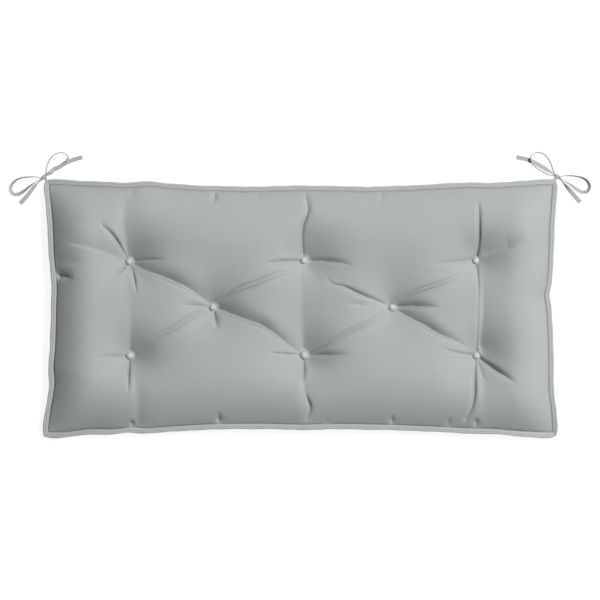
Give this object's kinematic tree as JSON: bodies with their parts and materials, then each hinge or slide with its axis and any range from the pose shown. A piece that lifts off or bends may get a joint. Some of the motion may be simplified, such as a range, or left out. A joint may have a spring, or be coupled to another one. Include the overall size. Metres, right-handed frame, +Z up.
{
  "type": "tufted bench cushion",
  "caption": "Filled rectangular bench cushion with a crowned sitting face drawn down by covered buttons, a sewn welt round the seam and a tape bow at each back corner.",
  "frame": {"origin": "on the floor under the middle of the cushion, ties left out", "axes": "+Z up out of the sitting face, +X along the length, +Y towards the back edge where the ties are"},
  "size_m": [1.1252, 0.5529, 0.0759],
  "materials": {
    "cushion_cloth": "matte woven",
    "welt_cloth": "matte woven",
    "button_cloth": "matte woven",
    "tape_cloth": "matte woven"
  },
  "bodies": {
    "root": {"cushion": "cushion_cloth", "welt": "welt_cloth", "button_back_left": "button_cloth", "button_back_middle": "button_cloth", "button_back_right": "button_cloth", "button_centre_left": "button_cloth", "button_centre_right": "button_cloth", "button_front_left": "button_cloth", "button_front_middle": "button_cloth", "button_front_right": "button_cloth", "tie_left_a": "tape_cloth", "tie_left_b": "tape_cloth", "tie_left_knot": "tape_cloth", "tie_right_a": "tape_cloth", "tie_right_b": "tape_cloth", "tie_right_knot": "tape_cloth"}
  },
  "joints": []
}
